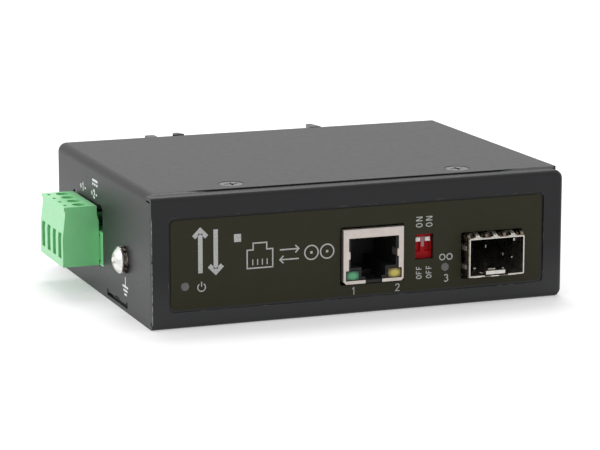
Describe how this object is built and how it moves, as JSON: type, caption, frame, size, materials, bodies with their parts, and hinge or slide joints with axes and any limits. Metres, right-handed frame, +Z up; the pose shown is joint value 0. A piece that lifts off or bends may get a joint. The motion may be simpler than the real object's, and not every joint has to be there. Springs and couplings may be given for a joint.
{
  "type": "industrial fibre media converter",
  "caption": "Flat black steel box that joins a copper network port to a fibre module cage, with slide switches, a pluggable screw terminal and a rail clip.",
  "frame": {"origin": "centre of the housing's underside, the face the box lies on", "axes": "+X to the right along the front face, away from the power terminal; +Y from the front to the rail clip; +Z up out of the large face"},
  "size_m": [0.1154, 0.0904, 0.032],
  "materials": {
    "black_paint": "satin black powder coat on steel",
    "label_film": "olive black printed polyester film",
    "black_screw": "black zinc plated steel",
    "board_laminate": "green solder resist",
    "zinc_steel": "zinc plated steel",
    "tin_plate": "satin tin plate",
    "black_nylon": "moulded black nylon",
    "gold_wire": "gold plated wire",
    "green_lens": "green tinted lens",
    "yellow_lens": "yellow tinted lens",
    "cage_steel": "nickel plated sheet",
    "spring_steel": "bright spring steel",
    "red_plastic": "red moulded body",
    "white_plastic": "white moulding",
    "clear_lens": "grey clear acrylic",
    "green_plastic": "green moulded polyamide",
    "nickel_screw": "nickel plated steel",
    "bronze_washer": "bronze toned toothed washer",
    "clip_paint": "dark satin coat on a cast clip",
    "chip_black": "black epoxy",
    "ferrite": "grey ferrite",
    "can_sleeve": "dark sleeve",
    "nickel_can": "nickel can",
    "brass_clamp": "plated brass cage"
  },
  "bodies": {
    "housing": {"chassis": "black_paint", "cover": "black_paint", "front_label": "label_film", "cover_screws": "black_screw", "back_screw": "black_screw", "circuit_board": "board_laminate", "board_standoffs": "zinc_steel", "board_screws": "zinc_steel", "rj45_shield": "tin_plate", "rj45_housing": "black_nylon", "rj45_contacts": "gold_wire", "jack_lamp_left": "green_lens", "jack_lamp_right": "yellow_lens", "sfp_cage": "cage_steel", "sfp_spring_collar": "spring_steel", "sfp_connector": "black_nylon", "switch_body": "red_plastic", "power_light_pipe": "clear_lens", "link_light_pipe": "clear_lens", "indicator_lamps": "white_plastic", "terminal_header": "green_plastic", "header_pins": "tin_plate", "earth_screw": "nickel_screw", "lock_washer": "bronze_washer", "earth_nut": "zinc_steel", "rail_clip": "clip_paint", "latch_spring": "spring_steel", "clip_screws": "zinc_steel", "converter_chip": "chip_black", "magnetics_module": "chip_black", "isolation_transformer": "ferrite", "bulk_capacitors": "can_sleeve", "power_inductor": "ferrite", "crystal": "nickel_can", "input_fuse": "white_plastic"},
    "plug": {"terminal_plug": "green_plastic", "plug_contacts": "tin_plate"},
    "slider_1": {"switch_slider_1": "white_plastic"},
    "slider_2": {"switch_slider_2": "white_plastic"},
    "latch": {"rail_latch": "clip_paint"},
    "screw_1": {"terminal_screw_1": "zinc_steel"},
    "clamp_1": {"wire_clamp_1": "brass_clamp"},
    "screw_2": {"terminal_screw_2": "zinc_steel"},
    "clamp_2": {"wire_clamp_2": "brass_clamp"},
    "screw_3": {"terminal_screw_3": "zinc_steel"},
    "clamp_3": {"wire_clamp_3": "brass_clamp"},
    "screw_4": {"terminal_screw_4": "zinc_steel"},
    "clamp_4": {"wire_clamp_4": "brass_clamp"}
  },
  "joints": [
    {"name": "plug_pull", "type": "slide", "parent": "housing", "child": "plug", "axis": [-1, 0, 0], "range_m": [0, 0.009]},
    {"name": "slider_1_shift", "type": "slide", "parent": "housing", "child": "slider_1", "axis": [0, 0, -1], "range_m": [0, 0.0025]},
    {"name": "slider_2_shift", "type": "slide", "parent": "housing", "child": "slider_2", "axis": [0, 0, -1], "range_m": [0, 0.0025]},
    {"name": "latch_slide", "type": "slide", "parent": "housing", "child": "latch", "axis": [-1, 0, 0], "range_m": [0, 0.0035], "stiffness_N_per_m": 800, "springref_m": -0.005, "deforming": ["latch_spring"]},
    {"name": "screw_1_turn", "type": "hinge", "parent": "plug", "child": "screw_1", "pos_m": [-0.0573, 0.00588, 0.018], "axis": [0, 0, 1], "range_deg": [-1440, 0]},
    {"name": "clamp_1_rise", "type": "slide", "parent": "plug", "child": "clamp_1", "axis": [0, 0, 1], "range_m": [0, 0.002]},
    {"name": "screw_2_turn", "type": "hinge", "parent": "plug", "child": "screw_2", "pos_m": [-0.0573, 0.01096, 0.018], "axis": [0, 0, 1], "range_deg": [-1440, 0]},
    {"name": "clamp_2_rise", "type": "slide", "parent": "plug", "child": "clamp_2", "axis": [0, 0, 1], "range_m": [0, 0.002]},
    {"name": "screw_3_turn", "type": "hinge", "parent": "plug", "child": "screw_3", "pos_m": [-0.0573, 0.01604, 0.018], "axis": [0, 0, 1], "range_deg": [-1440, 0]},
    {"name": "clamp_3_rise", "type": "slide", "parent": "plug", "child": "clamp_3", "axis": [0, 0, 1], "range_m": [0, 0.002]},
    {"name": "screw_4_turn", "type": "hinge", "parent": "plug", "child": "screw_4", "pos_m": [-0.0573, 0.02112, 0.018], "axis": [0, 0, 1], "range_deg": [-1440, 0]},
    {"name": "clamp_4_rise", "type": "slide", "parent": "plug", "child": "clamp_4", "axis": [0, 0, 1], "range_m": [0, 0.002]}
  ],
  "couplings": [
    {"joint": "screw_1_turn", "follows": "clamp_1_rise", "rad_per_m": -12566},
    {"joint": "screw_2_turn", "follows": "clamp_2_rise", "rad_per_m": -12566},
    {"joint": "screw_3_turn", "follows": "clamp_3_rise", "rad_per_m": -12566},
    {"joint": "screw_4_turn", "follows": "clamp_4_rise", "rad_per_m": -12566}
  ]
}
